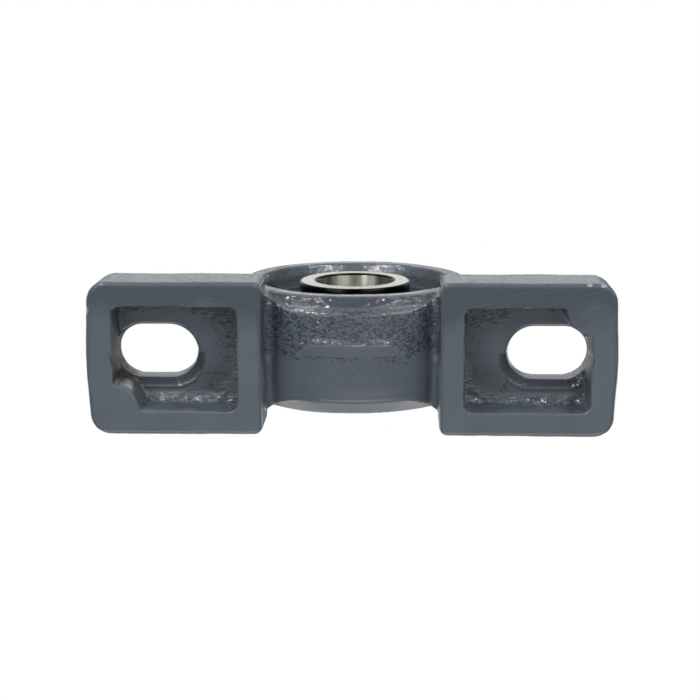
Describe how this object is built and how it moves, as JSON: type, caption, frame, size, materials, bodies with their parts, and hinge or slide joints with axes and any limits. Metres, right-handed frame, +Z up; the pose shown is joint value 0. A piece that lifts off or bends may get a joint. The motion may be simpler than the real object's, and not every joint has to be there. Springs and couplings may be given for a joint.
{
  "type": "pillow block bearing",
  "caption": "Cast pillow block with slotted hollow feet and a self-aligning, relubricated ball bearing insert locked to its shaft by set screws",
  "frame": {"origin": "centre of the mounting face, midway between the bolt slots, in the ball plane", "axes": "+X along the feet, +Y along the shaft towards the set-screw side, +Z up from the mounting face"},
  "size_m": [0.127, 0.0376, 0.074],
  "materials": {
    "housing_enamel": "grey-blue enamel over sand-cast iron, glossy with orange peel",
    "race_steel": "ground bearing steel",
    "ball_steel": "polished bearing steel",
    "cage_steel": "pressed steel strip",
    "shield_steel": "pressed sheet steel",
    "nitrile": "black nitrile rubber",
    "screw_steel": "black oxide",
    "zinc_steel": "zinc plate",
    "spring_steel": "drawn spring wire"
  },
  "bodies": {
    "housing": {"housing": "housing_enamel", "grease_nipple": "zinc_steel", "nipple_spring": "spring_steel"},
    "nipple_valve": {"nipple_ball": "ball_steel"},
    "insert": {"outer_ring": "race_steel", "shield_front": "shield_steel", "shield_rear": "shield_steel", "seal_lip_front": "nitrile", "seal_lip_rear": "nitrile"},
    "inner": {"inner_ring": "race_steel", "flinger_front": "shield_steel", "flinger_rear": "shield_steel"},
    "cage": {"cage_front": "cage_steel", "cage_rear": "cage_steel", "cage_rivets": "cage_steel"},
    "screw_1": {"set_screw_1": "screw_steel"},
    "screw_2": {"set_screw_2": "screw_steel"},
    "rolling_1": {"ball_1": "ball_steel"},
    "rolling_2": {"ball_2": "ball_steel"},
    "rolling_3": {"ball_3": "ball_steel"},
    "rolling_4": {"ball_4": "ball_steel"},
    "rolling_5": {"ball_5": "ball_steel"},
    "rolling_6": {"ball_6": "ball_steel"},
    "rolling_7": {"ball_7": "ball_steel"},
    "rolling_8": {"ball_8": "ball_steel"}
  },
  "joints": [
    {"name": "self_align", "type": "hinge", "parent": "housing", "child": "insert", "pos_m": [0, 0, 0.0333], "axis": [1, 0, 0], "range_deg": [-2, 2]},
    {"name": "shaft_spin", "type": "hinge", "parent": "insert", "child": "inner", "pos_m": [0, 0, 0.0333], "axis": [0, 1, 0], "continuous": true},
    {"name": "cage_orbit", "type": "hinge", "parent": "insert", "child": "cage", "pos_m": [0, 0, 0.0333], "axis": [0, 1, 0], "continuous": true},
    {"name": "ball_roll_1", "type": "hinge", "parent": "cage", "child": "rolling_1", "pos_m": [0, 0, 0.05005], "axis": [0, 1, 0], "continuous": true},
    {"name": "ball_roll_2", "type": "hinge", "parent": "cage", "child": "rolling_2", "pos_m": [0.01184, 0, 0.04514], "axis": [0, 1, 0], "continuous": true},
    {"name": "ball_roll_3", "type": "hinge", "parent": "cage", "child": "rolling_3", "pos_m": [0.01675, 0, 0.0333], "axis": [0, 1, 0], "continuous": true},
    {"name": "ball_roll_4", "type": "hinge", "parent": "cage", "child": "rolling_4", "pos_m": [0.01184, 0, 0.02146], "axis": [0, 1, 0], "continuous": true},
    {"name": "ball_roll_5", "type": "hinge", "parent": "cage", "child": "rolling_5", "pos_m": [0, 0, 0.01655], "axis": [0, 1, 0], "continuous": true},
    {"name": "ball_roll_6", "type": "hinge", "parent": "cage", "child": "rolling_6", "pos_m": [-0.01184, 0, 0.02146], "axis": [0, 1, 0], "continuous": true},
    {"name": "ball_roll_7", "type": "hinge", "parent": "cage", "child": "rolling_7", "pos_m": [-0.01675, 0, 0.0333], "axis": [0, 1, 0], "continuous": true},
    {"name": "ball_roll_8", "type": "hinge", "parent": "cage", "child": "rolling_8", "pos_m": [-0.01184, 0, 0.04514], "axis": [0, 1, 0], "continuous": true},
    {"name": "set_screw_travel_1", "type": "slide", "parent": "inner", "child": "screw_1", "axis": [0.866, 0, 0.5], "range_m": [-0.0003, 0.002]},
    {"name": "set_screw_travel_2", "type": "slide", "parent": "inner", "child": "screw_2", "axis": [-0.866, 0, 0.5], "range_m": [-0.0003, 0.002]},
    {"name": "nipple_valve_lift", "type": "slide", "parent": "housing", "child": "nipple_valve", "axis": [0, 0, -1], "range_m": [0, 0.0006], "stiffness_N_per_m": 150, "springref_m": -0.001, "deforming": ["nipple_spring"]}
  ],
  "couplings": [
    {"joint": "cage_orbit", "follows": "shaft_spin", "ratio": 0.38152},
    {"joint": "ball_roll_1", "follows": "shaft_spin", "ratio": -1.9916},
    {"joint": "ball_roll_2", "follows": "shaft_spin", "ratio": -1.9916},
    {"joint": "ball_roll_3", "follows": "shaft_spin", "ratio": -1.9916},
    {"joint": "ball_roll_4", "follows": "shaft_spin", "ratio": -1.9916},
    {"joint": "ball_roll_5", "follows": "shaft_spin", "ratio": -1.9916},
    {"joint": "ball_roll_6", "follows": "shaft_spin", "ratio": -1.9916},
    {"joint": "ball_roll_7", "follows": "shaft_spin", "ratio": -1.9916},
    {"joint": "ball_roll_8", "follows": "shaft_spin", "ratio": -1.9916}
  ]
}
